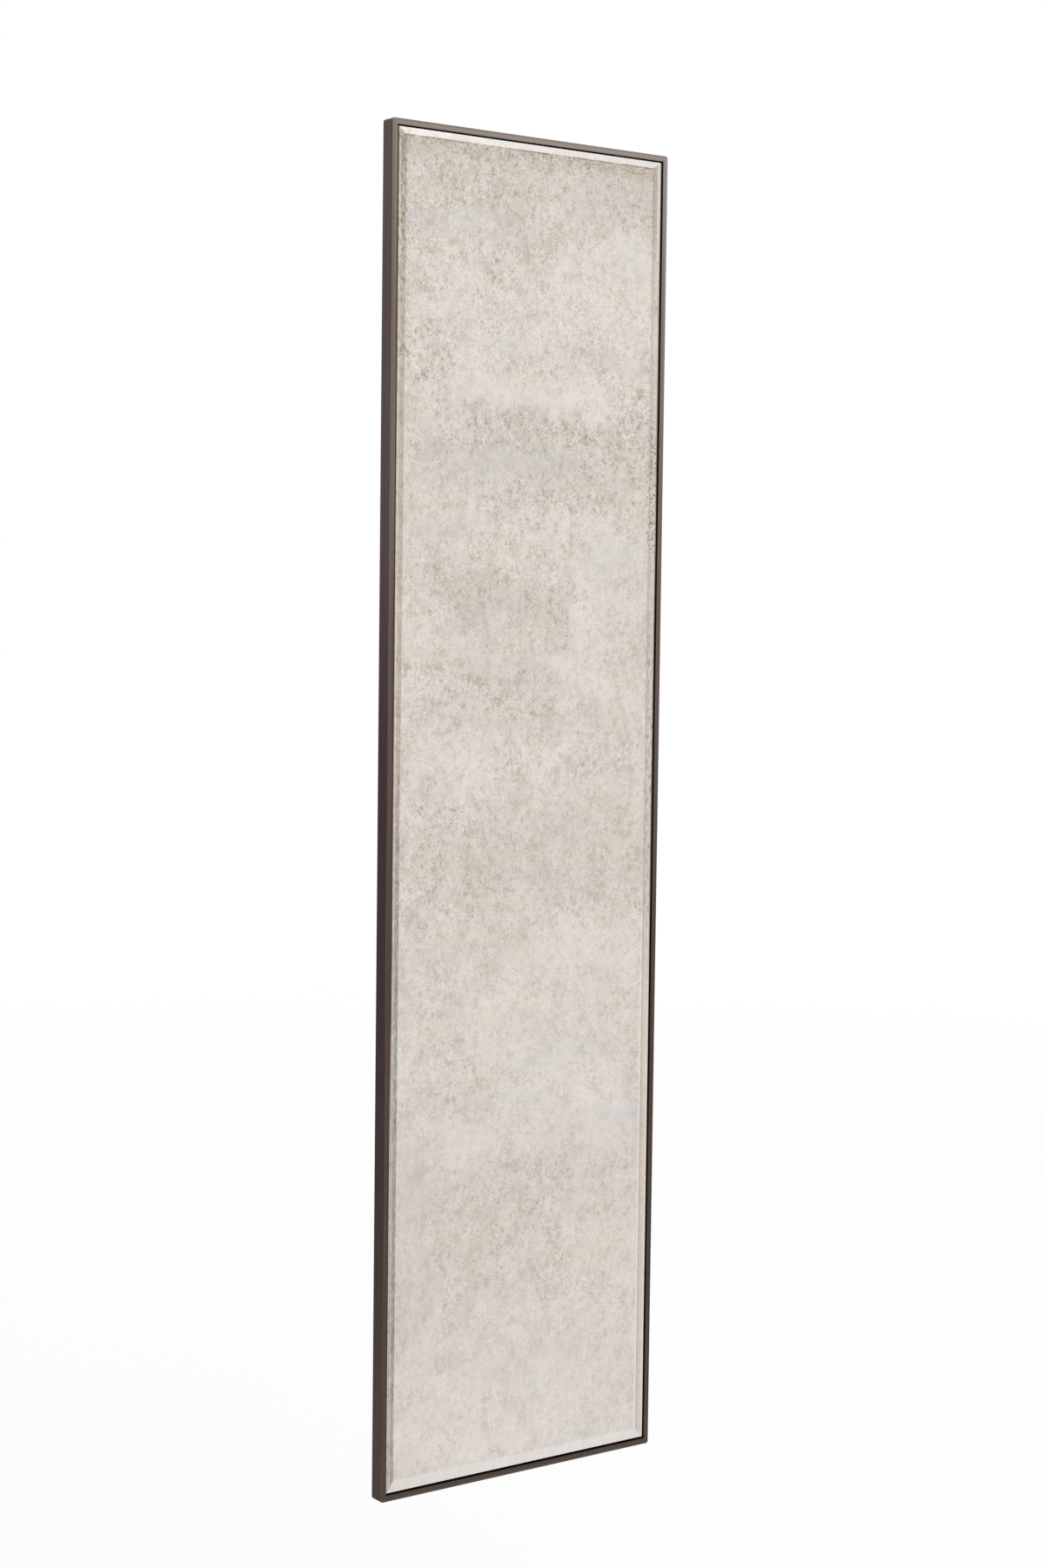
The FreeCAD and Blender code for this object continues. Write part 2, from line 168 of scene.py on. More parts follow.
# Calm, greyer streaks of the silver: X and Z of the middle, half width, half height
CALM_STREAKS = (
    (-0.10, 0.775, 0.10, 0.024),
    (0.17, 0.755, 0.06, 0.026),
    (-0.02, 0.625, 0.10, 0.016),
    (0.14, 0.612, 0.08, 0.014),
    (-0.04, 0.475, 0.10, 0.030),
    (-0.14, 0.385, 0.09, 0.018),
    (0.15, 0.350, 0.07, 0.028),
    (-0.02, 0.118, 0.10, 0.016),
    (0.10, 0.100, 0.10, 0.012),
    (-0.04, -0.378, 0.10, 0.010),
    (0.15, -0.420, 0.08, 0.012),
    (-0.02, 0.205, 0.07, 0.010),
    (0.06, 0.172, 0.06, 0.008),
    (-0.06, -0.300, 0.05, 0.010),
    (0.01, -0.335, 0.06, 0.009),
)

# Broad clouds of the silver: X from and to, Z from and to, and how much lighter they are,
# or darker where that is below 0
CLOUDS = (
    (-0.21, 0.21, 0.800, 0.900, -0.20),
    (0.04, 0.21, 0.630, 0.780, 0.30),
    (-0.16, 0.04, 0.600, 0.720, 0.21),
    (-0.14, 0.12, 0.535, 0.595, 0.40),
    (-0.21, 0.21, 0.420, 0.530, -0.16),
    (0.04, 0.19, 0.130, 0.400, 0.18),
    (-0.16, 0.04, 0.130, 0.340, -0.14),
    (-0.15, 0.02, 0.260, 0.315, -0.14),
    (-0.17, 0.08, 0.050, 0.100, 0.22),
    (-0.18, 0.18, -0.130, 0.040, -0.14),
    (-0.06, 0.17, -0.400, -0.240, 0.18),
    (-0.15, -0.06, -0.380, -0.190, -0.10),
    (-0.17, 0.20, -0.475, -0.395, 0.24),
    (-0.21, 0.21, -0.610, -0.450, -0.05),
    (-0.17, 0.04, -0.745, -0.650, 0.16),
    (-0.17, 0.21, -0.880, -0.745, 0.20),
)

# Level bands where the fine marks are stronger or weaker: Z from and to, and by how much
WORN_BANDS = (
    (0.535, 0.800, 0.10),
    (0.190, 0.390, -0.18),
    (-0.300, -0.160, -0.10),
    (-0.620, -0.440, 0.20),
)

# How the fine marks weaken: below, in the calm streaks, with the clouds, and below on the left
WORN_BY_Z = (-0.75, 0.60, 0.55, 1.0)
WORN_IN_STREAKS = (0.0, 1.0, 1.0, 0.45)
WORN_BY_CLOUDS = (-0.28, 0.32, 1.14, 0.86)
WORN_LEFT_BELOW = (0.0, 1.0, 1.0, 0.70)
LEFT_BELOW_BY_X = (-0.13, -0.19)
LEFT_BELOW_BY_Z = (-0.15, -0.35)

# How softly clouds and bands begin and end, and how far their edges wander
CLOUD_EDGE = 0.02
CLOUD_WANDER_X = 0.10
CLOUD_WANDER_Z = 0.07
BAND_WANDER = 0.05

# Widths of the pane's bevels, and the lines where the top and bottom ones begin
BEVEL_TOP = 0.0098
BEVEL_LEFT_ABOVE = 0.0114
BEVEL_LEFT_BELOW = 0.0092
BEVEL_RIGHT_ABOVE = 0.0158
BEVEL_RIGHT_BELOW = 0.0146
BEVEL_BOTTOM_RIGHT = 0.0148
top_line = glass_high.z - BEVEL_TOP
bottom_line = glass_low.z + BEVEL_BOTTOM_RIGHT

# Tints of the bevels and the arris: painted reflections on the bevels, a painted glint and a dark
# painted reflection on the arris, then the colour of the glass's sides
LEFT_REFLECTION_OUTER_ABOVE = (233, 228, 224)
LEFT_REFLECTION_OUTER_BELOW = (222, 219, 218)
LEFT_REFLECTION_INNER_ABOVE = (220, 212, 204)
LEFT_REFLECTION_INNER_BELOW = (183, 178, 176)
LEFT_INNER_TOP = ((217, 203, 189), 0.8)
RIGHT_GREY_REFLECTION = ((224, 218, 211), 0.35)
RIGHT_REFLECTION_CAST = (244, 242, 239)
RIGHT_OUTER_REFLECTION = (241, 237, 231)
RIGHT_INNER_REFLECTION = (170, 160, 143)
TOP_BEVEL_REFLECTION = (240, 237, 233)
BOTTOM_BEVEL_REFLECTION = (230, 226, 223)
ARRIS_GLINT = ((246, 242, 240), 0.8)
ARRIS_DARK_REFLECTION = (38, 32, 30)
GLASS_SIDE = (46, 44, 41)

# Ranges of the normal's lean: to the side or up, for bevels and arris, and to the front (Y below 0)
BEVEL_LEAN = (0.03, 0.06)
ARRIS_LEAN = (0.3, 0.5)
BEVEL_FRONT = (-0.85, -0.95)
ARRIS_OFF_FRONT = (-0.95, -0.90)
ARRIS_FRONT = (-0.30, -0.40)
SILVERED_FRONT = (-0.20, -0.30)

# Spots that creep in from the edges
TOP_HAZE = ((176, 161, 144), 0.45)
TOP_SPOTS = ((140, 122, 106), 0.70)
TOP_SPOTS_REACH = 0.028
TOP_SPOTS_FULL = 0.002
LEFT_SPOTS_ABOVE = ((112, 101, 90), 0.62)
LEFT_SPOTS_BELOW = ((128, 120, 118), 0.40)
RIGHT_SPOTS_ABOVE = ((132, 120, 100), 0.30)
RIGHT_SPOTS_FOXED = ((104, 84, 72), 0.90)
RIGHT_SPOTS_MIDDLE = ((140, 122, 106), 0.55)
CORNER_SPOTS = ((116, 104, 90), 0.60)
CORNER_SPOTS_WIDTH = 0.0045

# Thin lines along the bevels, the bright ones painted highlights and the grey ones on the right and
# lower left painted dark reflections: the mark of each, how far right of the bevel's line it lies (or
# of the pane's edge, for the bright left one), and within what distance of its middle it fades out
LINE_HIGHLIGHT_LEFT = ((238, 232, 226), 0.32)
HIGHLIGHT_LEFT_AT = 0.0032
HIGHLIGHT_LEFT_WIDTH = 0.0018
LINE_DARK_REFLECTION_LEFT = ((122, 114, 111), 0.18)
DARK_LEFT_AT = -0.0014
DARK_LEFT_WIDTH = 0.0016
LINE_LEFT_UPPER = ((150, 138, 126), 0.30)
LEFT_UPPER_WIDTH = 0.0016
LINE_TOP = ((132, 114, 98), 0.75)
TOP_WIDTH = 0.0020
LINE_DARK_REFLECTION_RIGHT = ((166, 155, 145), 0.42)
DARK_RIGHT_AT = 0.0022
DARK_RIGHT_WIDTH = 0.0030
LINE_HIGHLIGHT_RIGHT = ((236, 230, 226), 0.70)
HIGHLIGHT_RIGHT_AT = -0.0012
HIGHLIGHT_RIGHT_WIDTH = 0.0026

# Dark rims, painted shade of the gap on the left and a dark painted reflection of the frame on the
# right: the mark of each, and how far inside the pane's edge it starts and is full
RIM_SHADE_LEFT = ((70, 60, 55), 0.75)
RIM_LEFT_START = 0.0018
RIM_LEFT_FULL = 0.0006
RIM_REFLECTION_RIGHT = ((112, 98, 91), 0.85)
RIM_RIGHT_START = 0.0045
RIM_RIGHT_FULL = 0.0002

# How softly lines and spots stop at the line of another bevel
LINE_END = 0.0005
CORNER_END = 0.0010

# Ranges of tints and spots by how far right of a side bevel's line they lie
LEFT_EVEN_PART = (-0.0078, -0.0056)
LEFT_DEEPENING = (-0.0085, -0.0022, 0.50, 1.05)
LEFT_INNER_END = (0.0010, -0.0005)
RIGHT_OUTER_PART = (0.0080, 0.0105)
RIGHT_INNER_PART = (0.0100, 0.0080)
LEFT_REACH_ABOVE = (0.010, -0.003)
LEFT_REACH_BELOW = (0.002, -0.002)
RIGHT_REACH_ABOVE = (-0.010, 0.004)
RIGHT_REACH_FOXED = (-0.010, 0.006)
RIGHT_REACH_MIDDLE = (-0.004, 0.004)

# Ranges of tints, spots and lines by height (Z)
LEFT_DARKER_BELOW = (0.15, -0.25)
LEFT_SANDY_ABOVE = (0.70, 0.82)
RIGHT_LIGHT_ABOVE = (0.68, 0.80, 0.15, 0.60)
RIGHT_LIGHT_BELOW = (-0.20, -0.40, 0.0, 0.12)
RIGHT_DARK_ABOVE = (0.72, 0.84, 0.0, 0.45)
LEFT_ARRIS_ABOVE = (-0.50, -0.15, 0.20, 1.0)
RIGHT_ARRIS_ABOVE = (-0.50, -0.15)
SPOTS_ABOVE = (0.60, 0.72)
LEFT_SPOTTED_BELOW = (0.20, -0.05)
FOXED_FROM = (0.30, 0.40)
FOXED_TO = (0.60, 0.48)
MIDDLE_FROM = (-0.25, -0.1)
MIDDLE_TO = (0.35, 0.2)
CORNER_ABOVE = (0.74, 0.84)
DARK_LEFT_BELOW = (-0.05, -0.25)
DARK_LEFT_FROM = (-0.85, -0.60)
LEFT_RIM_ABOVE = (-0.45, -0.15, 0.15, 1.0)
RIGHT_RIM_ABOVE = (-0.35, -0.05)
LEFT_LINE_ABOVE = (-0.1, 0.3)
HIGHLIGHT_RIGHT_BELOW = (0.0, -0.3)

# Hairline crack in the silver, an arc near the upper right corner
CRACK = ((128, 114, 100), 0.7)
CRACK_CENTRE = (0.1717, 0.9435)
CRACK_RADIUS = 0.0725
CRACK_WIDTH = 0.0009
CRACK_FADE = (0.200, 0.186)

# Dark and light tones of the small parts, and how strong their marks are
ZINC = ((130, 130, 133), (172, 172, 174))
SCREW_BLACK = ((26, 26, 27), (52, 50, 50))
ALUMINIUM = ((124, 125, 127), (168, 169, 170))
BOARD_BLACK = ((34, 32, 31), (58, 55, 52))
BOARD_SCUFF = ((86, 82, 77), 0.5)
RUBBER = ((26, 26, 26), (44, 44, 43))
FILM = ((196, 200, 196), (212, 214, 210))
FOAM = ((232, 231, 226), (214, 212, 206))
ADHESIVE = ((206, 202, 190), (188, 184, 170))
METAL_GRAIN_SHARE = 0.5
METAL_SCRATCH_SHARE = 0.6
BOARD_SHADING_SHARE = 0.45
SOFT_CLOUD_SHARE = 0.4


def channel_to_linear(value):
    share = value / 255
    if share <= 0.04045:
        return share / 12.92
    return ((share + 0.055) / 1.055) ** 2.4


def colour(red_green_blue):
    """A shader colour from screen values of 0 to 255."""
    return (*(channel_to_linear(v) for v in red_green_blue), 1.0)


class Shading:
    """Adds shader nodes to one material. Each method returns the output socket of what it adds."""

    def __init__(self, name):
        self.material = bpy.data.materials.new(name)
        self.material.use_nodes = True
        self.tree = self.material.node_tree
        self.surface = self.tree.nodes["Principled BSDF"]
        coordinates = self.tree.nodes.new("ShaderNodeTexCoord")
        self.place = coordinates.outputs["Object"]
        self.normal = coordinates.outputs["Normal"]

    def add(self, kind, sockets, **settings):
        made = self.tree.nodes.new(kind)
        for name, value in settings.items():
            setattr(made, name, value)
        for key, value in sockets.items():
            self.feed(made.inputs[key], value)
        return made

    def feed(self, socket, value):
        if isinstance(value, bpy.types.NodeSocket):
            self.tree.links.new(value, socket)
        else:
            socket.default_value = value

    def set(self, **values):
        """Feeds the surface's own sockets, named with _ for each space."""
        for name, value in values.items():
            self.feed(self.surface.inputs[name.replace("_", " ")], value)

    def split(self, vector):
        return self.add("ShaderNodeSeparateXYZ", {0: vector}).outputs

    def stretched(self, scale, shift=(0.0, 0.0, 0.0)):
        """The place on the object, scaled along each axis and shifted."""
        made = self.add("ShaderNodeMapping", {"Vector": self.place, "Scale": scale, "Location": shift})
        return made.outputs["Vector"]

    def noise(self, vector, scale, detail, roughness, distortion=0.0):
        sockets = {
            "Vector": vector, "Scale": scale, "Detail": detail,
            "Roughness": roughness, "Distortion": distortion,
        }
        return self.add("ShaderNodeTexNoise", sockets).outputs["Fac"]

    def field(self, scale, shift=(0.0, 0.0, 0.0), detail=3.0, roughness=0.6, distortion=0.0):
        """Noise with a scale of its own along each axis."""
        return self.noise(self.stretched(scale, shift), 1.0, detail, roughness, distortion)

    def between(self, value, low, high, start=0.0, end=1.0):
        """A soft step from start at low to end at high."""
        sockets = {"Value": value, "From Min": low, "From Max": high, "To Min": start, "To Max": end}
        made = self.add("ShaderNodeMapRange", sockets, interpolation_type="SMOOTHSTEP", clamp=True)
        return made.outputs["Result"]

    def slope(self, value, low, high, start, end):
        """A straight run from start at low to end at high."""
        sockets = {"Value": value, "From Min": low, "From Max": high, "To Min": start, "To Max": end}
        return self.add("ShaderNodeMapRange", sockets, clamp=True).outputs["Result"]

    def window(self, value, low, high, edge):
        """1 from low to high, with soft edges at both ends."""
        rising = self.between(value, low - edge, low + edge)
        return self.product(rising, self.between(value, high + edge, high - edge))

    def wandering(self, value, noise, reach):
        """The value, shifted by the noise by up to reach either way."""
        return self.total(value, self.slope(noise, *NOISE_RANGE, -reach, reach))

    def maths(self, operation, first, second=0.0):
        return self.add("ShaderNodeMath", {0: first, 1: second}, operation=operation).outputs[0]

    def product(self, *values):
        result = values[0]
        for value in values[1:]:
            result = self.maths("MULTIPLY", result, value)
        return result

    def total(self, *values):
        result = values[0]
        for value in values[1:]:
            result = self.maths("ADD", result, value)
        return result

    def squares(self, first, second):
        """The sum of both squares."""
        return self.total(self.product(first, first), self.product(second, second))

    def blend(self, share, first, second, kind="MIX"):
        sockets = {0: share, 6: first, 7: second}
        return self.add("ShaderNodeMix", sockets, data_type="RGBA", blend_type=kind).outputs[2]

    def tint(self, share, tone, screen_colour):
        """Takes a share of the tone to a colour."""
        return self.blend(share, tone, colour(screen_colour))

    def shade(self, share, tone, cast):
        """Multiplies a share of the tone by a cast."""
        return self.blend(share, tone, colour(cast), "MULTIPLY")

    def mark(self, tone, mark, *places):
        """Puts a mark on the tone where all the places are 1."""
        screen_colour, strength = mark
        return self.tint(self.product(*places, strength), tone, screen_colour)

    def bump(self, height, distance):
        """Raises the surface where the height is 1, by the distance."""
        sockets = {"Height": height, "Distance": distance, "Strength": 1.0}
        self.set(Normal=self.add("ShaderNodeBump", sockets).outputs["Normal"])

    def paint(self, *names):
        """Gives this finish to the named CAD nodes."""
        for name in names:
            slots = nodes[name].data.materials
            slots.clear()
            slots.append(self.material)


class PaneShading(Shading):
    """Also knows where a point lies on the pane, and the patterns that the marks share."""

    def __init__(self, name):
        super().__init__(name)
        self.x, _, self.z = self.split(self.place)
        # How far right of the line where each side bevel meets the flat
        self.past_left = self.from_line(
            glass_low.x + BEVEL_LEFT_BELOW, glass_low.x + BEVEL_LEFT_ABOVE,
        )
        self.past_right = self.from_line(
            glass_high.x - BEVEL_RIGHT_BELOW, glass_high.x - BEVEL_RIGHT_ABOVE,
        )
        self.broken = self.between(self.field((40, 40, 40), roughness=0.65), 0.42, 0.60)
        spots = self.field((230, 1, 230), (0.4, 0, 3.0), roughness=0.75)
        self.spots = self.between(spots, 0.52, 0.59)
        long_spots = self.field((230, 1, 90), (1.4, 0, 7.0), roughness=0.75)
        self.long_spots = self.between(long_spots, 0.51, 0.58)
        # 1 below the line of the top bevel, and 1 left of the line of the right bevel
        self.under_top = self.between(self.z, top_line + LINE_END, top_line - LINE_END)
        self.off_right = self.between(self.past_right, CORNER_END, -CORNER_END)

    def from_line(self, below, above):
        line = self.slope(self.z, glass_low.z, glass_high.z, below, above)
        return self.maths("SUBTRACT", self.x, line)

    def near(self, value, line, width):
        """1 on a line, softly falling to 0 at the given width on both sides."""
        away = self.maths("ABSOLUTE", self.maths("SUBTRACT", value, line))
        return self.between(away, 0.0, width, 1.0, 0.0)


def calm_streaks(s):
    """Where the silver is calm and greyer: a few level streaks with ragged ends."""
    ragged = s.between(s.field((9, 9, 30)), 0.3, 0.7, -0.9, 0.9)
    found = 0.0
    for middle_x, middle_z, half_wide, half_high in CALM_STREAKS:
        across = s.maths("DIVIDE", s.maths("SUBTRACT", s.x, middle_x), half_wide)
        along = s.maths("DIVIDE", s.maths("SUBTRACT", s.z, middle_z), half_high)
        reach = s.total(s.squares(across, along), ragged)
        found = s.maths("MAXIMUM", s.between(reach, 1.6, -0.4), found)
    return found


def broad_clouds(s):
    """Above 0 where the silver is lighter and below 0 where it is darker, with wandering edges."""
    sideways = s.field((9, 1, 12), (6.1, 0, 2.9), 4.0, 0.65)
    upward = s.field((16, 1, 9), (2.1, 0, 8.9), 4.0, 0.65)
    across = s.wandering(s.x, sideways, CLOUD_WANDER_X)
    along = s.wandering(s.z, upward, CLOUD_WANDER_Z)
    found = 0.0
    for left, right, low, high, gain in CLOUDS:
        wide = s.window(across, left, right, CLOUD_EDGE)
        tall = s.window(along, low, high, CLOUD_EDGE)
        found = s.total(found, s.product(wide, tall, gain))
    return found


def band_strength(s):
    """How strong the fine marks are at each height, 1 between the listed bands."""
    along = s.wandering(s.z, s.field((12, 1, 9), (4.4, 0, 5.9)), BAND_WANDER)
    strength = 1.0
    for low, high, gain in WORN_BANDS:
        strength = s.total(strength, s.product(s.window(along, low, high, CLOUD_EDGE), gain))
    return strength


def silver_ground(s):
    """The silver's own tone, which drifts between cool and sandy in level bands."""
    broad = s.between(s.field((3.0, 1, 7.0), (4.7, 0, 0.9)), 0.38, 0.62)
    tone = s.blend(broad, colour(SILVER_DARKER), colour(SILVER_LIGHTER))
    cool = s.between(s.field((5.0, 1, 14.0), (3.1, 0, 1.7)), 0.50, 0.68)
    tone = s.mark(tone, SILVER_COOL, cool)
    sand = s.between(s.field((7.0, 1, 11.0), (7.3, 0, 4.2)), 0.48, 0.68)
    tone = s.mark(tone, SILVER_SANDY, sand)
    level = s.field((6.0, 1, 42.0), (9.7, 0, 6.1))
    tone = s.tint(s.between(level, 0.52, 0.66, 0.0, LEVEL_SHARE), tone, SILVER_LEVEL_GREY)
    return s.tint(s.between(level, 0.48, 0.34, 0.0, LEVEL_SHARE), tone, SILVER_LEVEL_SAND)


def wear(s, by_height, streaks, clouds):
    """How strong the fine marks are: in level bands and clumps, and weaker in the calm streaks."""
    bands = s.between(s.field((3.0, 1, 10.0), (1.3, 0, 9.2)), 0.36, 0.56, 0.60, 1.0)
    clumps = s.noise(s.stretched((0.95, 1, 0.9)), CLUMP_SCALE, 2.0, 0.6, 0.2)
    clumps = s.between(clumps, 0.34, 0.58, 0.50, 1.0)
    left_below = s.product(s.between(s.x, *LEFT_BELOW_BY_X), s.between(s.z, *LEFT_BELOW_BY_Z))
    return s.product(
        bands, clumps, by_height, s.between(streaks, *WORN_IN_STREAKS), band_strength(s),
        s.slope(clouds, *WORN_BY_CLOUDS), s.between(left_below, *WORN_LEFT_BELOW),
    )


def clouded_silver(s):
    """Silver with a fine sponge of brown and light marks, in level bands, under broad clouds."""
    by_height = s.between(s.z, *WORN_BY_Z)
    streaks = calm_streaks(s)
    clouds = broad_clouds(s)
    worn = wear(s, by_height, streaks, clouds)
    tone = s.mark(silver_ground(s), SILVER_CALM, streaks)

    sponge = s.noise(s.stretched((0.94, 1, 0.82)), SPONGE_SCALE, 4.0, 0.80, 0.3)
    tone = s.mark(tone, SPONGE_BROWN, worn, s.between(sponge, 0.49, 0.67))
    tone = s.mark(tone, SPONGE_LIGHT, worn, s.between(sponge, 0.50, 0.34))
    grain = s.noise(s.stretched((0.95, 1, 0.87), (2.2, 0, 3.3)), GRAIN_SCALE, 2.0, 0.8, 0.2)
    tone = s.mark(tone, GRAIN_BROWN, worn, s.between(grain, 0.50, 0.66))
    drifts = s.noise(s.stretched((0.9, 1, 0.66), (8.8, 0, 1.1)), DRIFT_SCALE, 3.0, 0.75)
    tone = s.mark(tone, DRIFT_BROWN, s.between(drifts, 0.50, 0.70))
    tone = s.mark(tone, DRIFT_LIGHT, s.between(drifts, 0.50, 0.32))

    rust_zones = s.noise(s.stretched((1, 1, 1), (5.5, 0, 2.2)), RUST_ZONE_SCALE, 2.0, 0.5)
    rust_zones = s.between(rust_zones, 0.56, 0.70)
    rust = s.between(s.noise(s.place, RUST_SCALE, 2.0, 0.7), 0.56, 0.64)
    tone = s.mark(tone, RUST, rust_zones, rust, by_height)
    tone = s.tint(s.between(clouds, 0.0, 0.45, 0.0, CLOUD_LIGHT_SHARE), tone, CLOUD_LIGHT)
    tone = s.tint(s.between(clouds, 0.0, -0.28, 0.0, CLOUD_DARK_SHARE), tone, CLOUD_DARK)
    return tone, worn


def left_bevel_reflection(s, specks):
    """The left bevel's painted reflection: a pale outer part and a dark inner one, which deepens below
    and is broken by specks of foxing.
    """
    below = s.between(s.z, *LEFT_DARKER_BELOW)
    even_part = s.between(s.past_left, *LEFT_EVEN_PART)
    deepening = s.slope(s.past_left, *LEFT_DEEPENING)
    not_below = s.maths("SUBTRACT", 1.0, below)
    inner_part = s.total(s.product(even_part, not_below), s.product(deepening, below))
    inner_part = s.product(inner_part, s.between(s.past_left, *LEFT_INNER_END))
    outer = s.blend(below, colour(LEFT_REFLECTION_OUTER_ABOVE), colour(LEFT_REFLECTION_OUTER_BELOW))
    inner_painted_dark = s.blend(below, colour(LEFT_REFLECTION_INNER_ABOVE), colour(LEFT_REFLECTION_INNER_BELOW))
    inner_painted_dark = s.mark(inner_painted_dark, LEFT_INNER_TOP, s.between(s.z, *LEFT_SANDY_ABOVE))
    return s.blend(s.product(inner_part, specks), outer, inner_painted_dark)


def bevel_reflections(s, tone):
    """Painted reflections on the bevels: the end bevels lighter, the side ones greyer, and on the arris
    a painted glint that is painted dark above.
    """
    tilt_x, tilt_y, tilt_z = s.split(s.normal)
    least, full = BEVEL_LEAN
    faces_front = s.between(tilt_y, *BEVEL_FRONT)
    on_left = s.product(faces_front, s.between(tilt_x, -least, -full))
    on_right = s.product(faces_front, s.between(tilt_x, least, full))
    on_top = s.product(faces_front, s.between(tilt_z, least, full))
    on_bottom = s.product(faces_front, s.between(tilt_z, -least, -full))
    specks = s.between(s.field((330, 1, 40), (2.0, 0, 0.6), 4.0, 0.75), 0.40, 0.58)

    # Painted reflection on the left bevel, broken by specks of foxing
    tone = s.blend(on_left, tone, left_bevel_reflection(s, specks), "MULTIPLY")
    # Painted reflection on the right bevel: greyer, with a light strip outside and a dark one inside
    # above
    tone = s.mark(tone, RIGHT_GREY_REFLECTION, on_right)
    tone = s.shade(on_right, tone, RIGHT_REFLECTION_CAST)
    reflection_lightness = s.total(s.between(s.z, *RIGHT_LIGHT_ABOVE), s.between(s.z, *RIGHT_LIGHT_BELOW))
    outer_reflection_strip = s.product(on_right, s.between(s.past_right, *RIGHT_OUTER_PART), reflection_lightness)
    tone = s.tint(outer_reflection_strip, tone, RIGHT_OUTER_REFLECTION)
    reflection_darkness = s.between(s.z, *RIGHT_DARK_ABOVE)
    inner_reflection_strip = s.product(on_right, s.between(s.past_right, *RIGHT_INNER_PART), reflection_darkness)
    tone = s.tint(inner_reflection_strip, tone, RIGHT_INNER_REFLECTION)

    # Painted reflections that light the top and bottom bevels, broken by the specks
    reflection_share = s.between(specks, 0.0, 1.0, 0.76, 0.62)
    tone = s.tint(s.product(on_top, reflection_share), tone, TOP_BEVEL_REFLECTION)
    tone = s.tint(s.product(on_bottom, reflection_share), tone, BOTTOM_BEVEL_REFLECTION)
    # A painted glint on the arris, and a dark painted reflection on it above
    on_arris = s.product(s.between(tilt_y, *ARRIS_OFF_FRONT), s.between(tilt_y, *ARRIS_FRONT))
    tone = s.mark(tone, ARRIS_GLINT, on_arris)
    least, full = ARRIS_LEAN
    leftward = s.product(s.between(tilt_x, -least, -full), s.between(s.z, *LEFT_ARRIS_ABOVE))
    rightward = s.product(s.between(tilt_x, least, full), s.between(s.z, *RIGHT_ARRIS_ABOVE))
    tone = s.tint(s.product(on_arris, s.total(leftward, rightward)), tone, ARRIS_DARK_REFLECTION)
    return tone, s.between(tilt_y, *SILVERED_FRONT)


def edge_spots(s, tone):
    """Brown spots and haze that creep in from the edges, most of all above."""
    below_top = s.product(
        s.between(s.z, top_line - TOP_SPOTS_REACH, top_line - TOP_SPOTS_FULL),
        s.between(s.z, top_line + CORNER_END, top_line), s.off_right,
    )
    tone = s.mark(tone, TOP_HAZE, below_top, s.broken)
    tone = s.mark(tone, TOP_SPOTS, below_top, s.spots)
    upper = s.between(s.z, *SPOTS_ABOVE)
    left_above = s.product(s.between(s.past_left, *LEFT_REACH_ABOVE), upper)
    tone = s.mark(tone, LEFT_SPOTS_ABOVE, left_above, s.long_spots)
    below = s.between(s.z, *LEFT_SPOTTED_BELOW)
    left_below = s.product(s.between(s.past_left, *LEFT_REACH_BELOW), below)
    tone = s.mark(tone, LEFT_SPOTS_BELOW, left_below, s.long_spots)
    foxed = s.product(s.between(s.z, *FOXED_FROM), s.between(s.z, *FOXED_TO))
    right_foxed = s.product(s.between(s.past_right, *RIGHT_REACH_FOXED), foxed)
    tone = s.mark(tone, RIGHT_SPOTS_FOXED, right_foxed, s.spots)
    right_above = s.product(s.between(s.past_right, *RIGHT_REACH_ABOVE), upper)
    tone = s.mark(tone, RIGHT_SPOTS_ABOVE, right_above, s.spots)
    middle = s.product(s.between(s.z, *MIDDLE_FROM), s.between(s.z, *MIDDLE_TO))
    right_middle = s.product(s.between(s.past_right, *RIGHT_REACH_MIDDLE), middle)
    return s.mark(tone, RIGHT_SPOTS_MIDDLE, right_middle, s.long_spots)


def left_lines(s, tone):
    """A painted highlight line and, below, a dark painted reflection line on the left bevel, and
    painted shade on the left rim above.
    """
    highlight_line = s.near(s.x, glass_low.x + HIGHLIGHT_LEFT_AT, HIGHLIGHT_LEFT_WIDTH)
    tone = s.mark(tone, LINE_HIGHLIGHT_LEFT, highlight_line)
    dark = s.near(s.past_left, DARK_LEFT_AT, DARK_LEFT_WIDTH)
    below = s.product(s.between(s.z, *DARK_LEFT_BELOW), s.between(s.z, *DARK_LEFT_FROM))
    tone = s.mark(tone, LINE_DARK_REFLECTION_LEFT, dark, below)
    # Painted shade of the gap on the left rim, above
    shaded_rim = s.between(s.x, glass_low.x + RIM_LEFT_START, glass_low.x + RIM_LEFT_FULL)
    return s.mark(tone, RIM_SHADE_LEFT, shaded_rim, s.between(s.z, *LEFT_RIM_ABOVE))


def right_lines(s, tone):
    """Spots near the upper corner, a dark painted reflection line on the right bevel, and a painted
    highlight line beside it below.
    """
    off_ends = s.product(s.under_top, s.between(s.z, bottom_line - LINE_END, bottom_line + LINE_END))
    corner = s.near(s.past_right, 0.0, CORNER_SPOTS_WIDTH)
    tone = s.mark(tone, CORNER_SPOTS, corner, s.between(s.z, *CORNER_ABOVE), off_ends, s.spots)
    dark = s.near(s.past_right, DARK_RIGHT_AT, DARK_RIGHT_WIDTH)
    tone = s.mark(tone, LINE_DARK_REFLECTION_RIGHT, dark, off_ends)
    highlight_line = s.near(s.past_right, HIGHLIGHT_RIGHT_AT, HIGHLIGHT_RIGHT_WIDTH)
    return s.mark(tone, LINE_HIGHLIGHT_RIGHT, highlight_line, s.between(s.z, *HIGHLIGHT_RIGHT_BELOW), off_ends)


